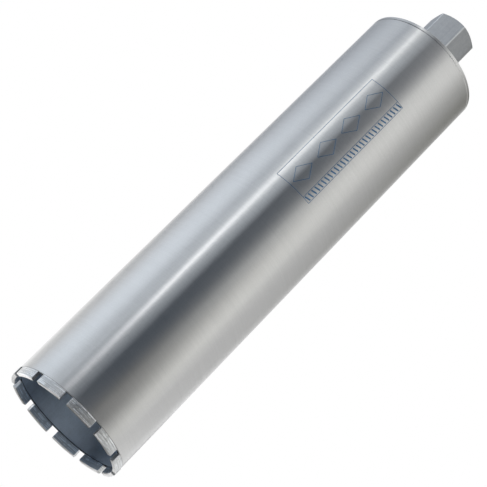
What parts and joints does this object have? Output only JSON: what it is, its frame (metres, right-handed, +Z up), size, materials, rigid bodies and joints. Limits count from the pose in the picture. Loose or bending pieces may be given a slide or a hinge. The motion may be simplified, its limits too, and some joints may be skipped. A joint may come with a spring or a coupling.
{
  "type": "diamond core bit",
  "caption": "Thin-walled steel core drilling barrel with sintered diamond segments and water slots at the open end, and a hexagonal hub with a threaded through bore at the closed end.",
  "frame": {"origin": "centre of the cutting face at the open end, which the bit stands on", "axes": "+Z up the bit's axis from the cutting face to the hub; -Y towards the side that the picture shows"},
  "size_m": [0.131, 0.131, 0.5931],
  "materials": {
    "ground_steel": "circumferentially ground, satin",
    "plate_steel": "turned, satin",
    "hub_steel": "drawn hexagon bar, satin",
    "weld_steel": "weld bead, as laid",
    "segment_metal": "sintered, ground, gritty"
  },
  "bodies": {
    "root": {"tube": "ground_steel", "end_plate": "plate_steel", "hub": "hub_steel", "hub_weld": "weld_steel", "diamond_segment_01": "segment_metal", "diamond_segment_02": "segment_metal", "diamond_segment_03": "segment_metal", "diamond_segment_04": "segment_metal", "diamond_segment_05": "segment_metal", "diamond_segment_06": "segment_metal", "diamond_segment_07": "segment_metal", "diamond_segment_08": "segment_metal", "diamond_segment_09": "segment_metal", "diamond_segment_10": "segment_metal", "diamond_segment_11": "segment_metal"}
  },
  "joints": []
}
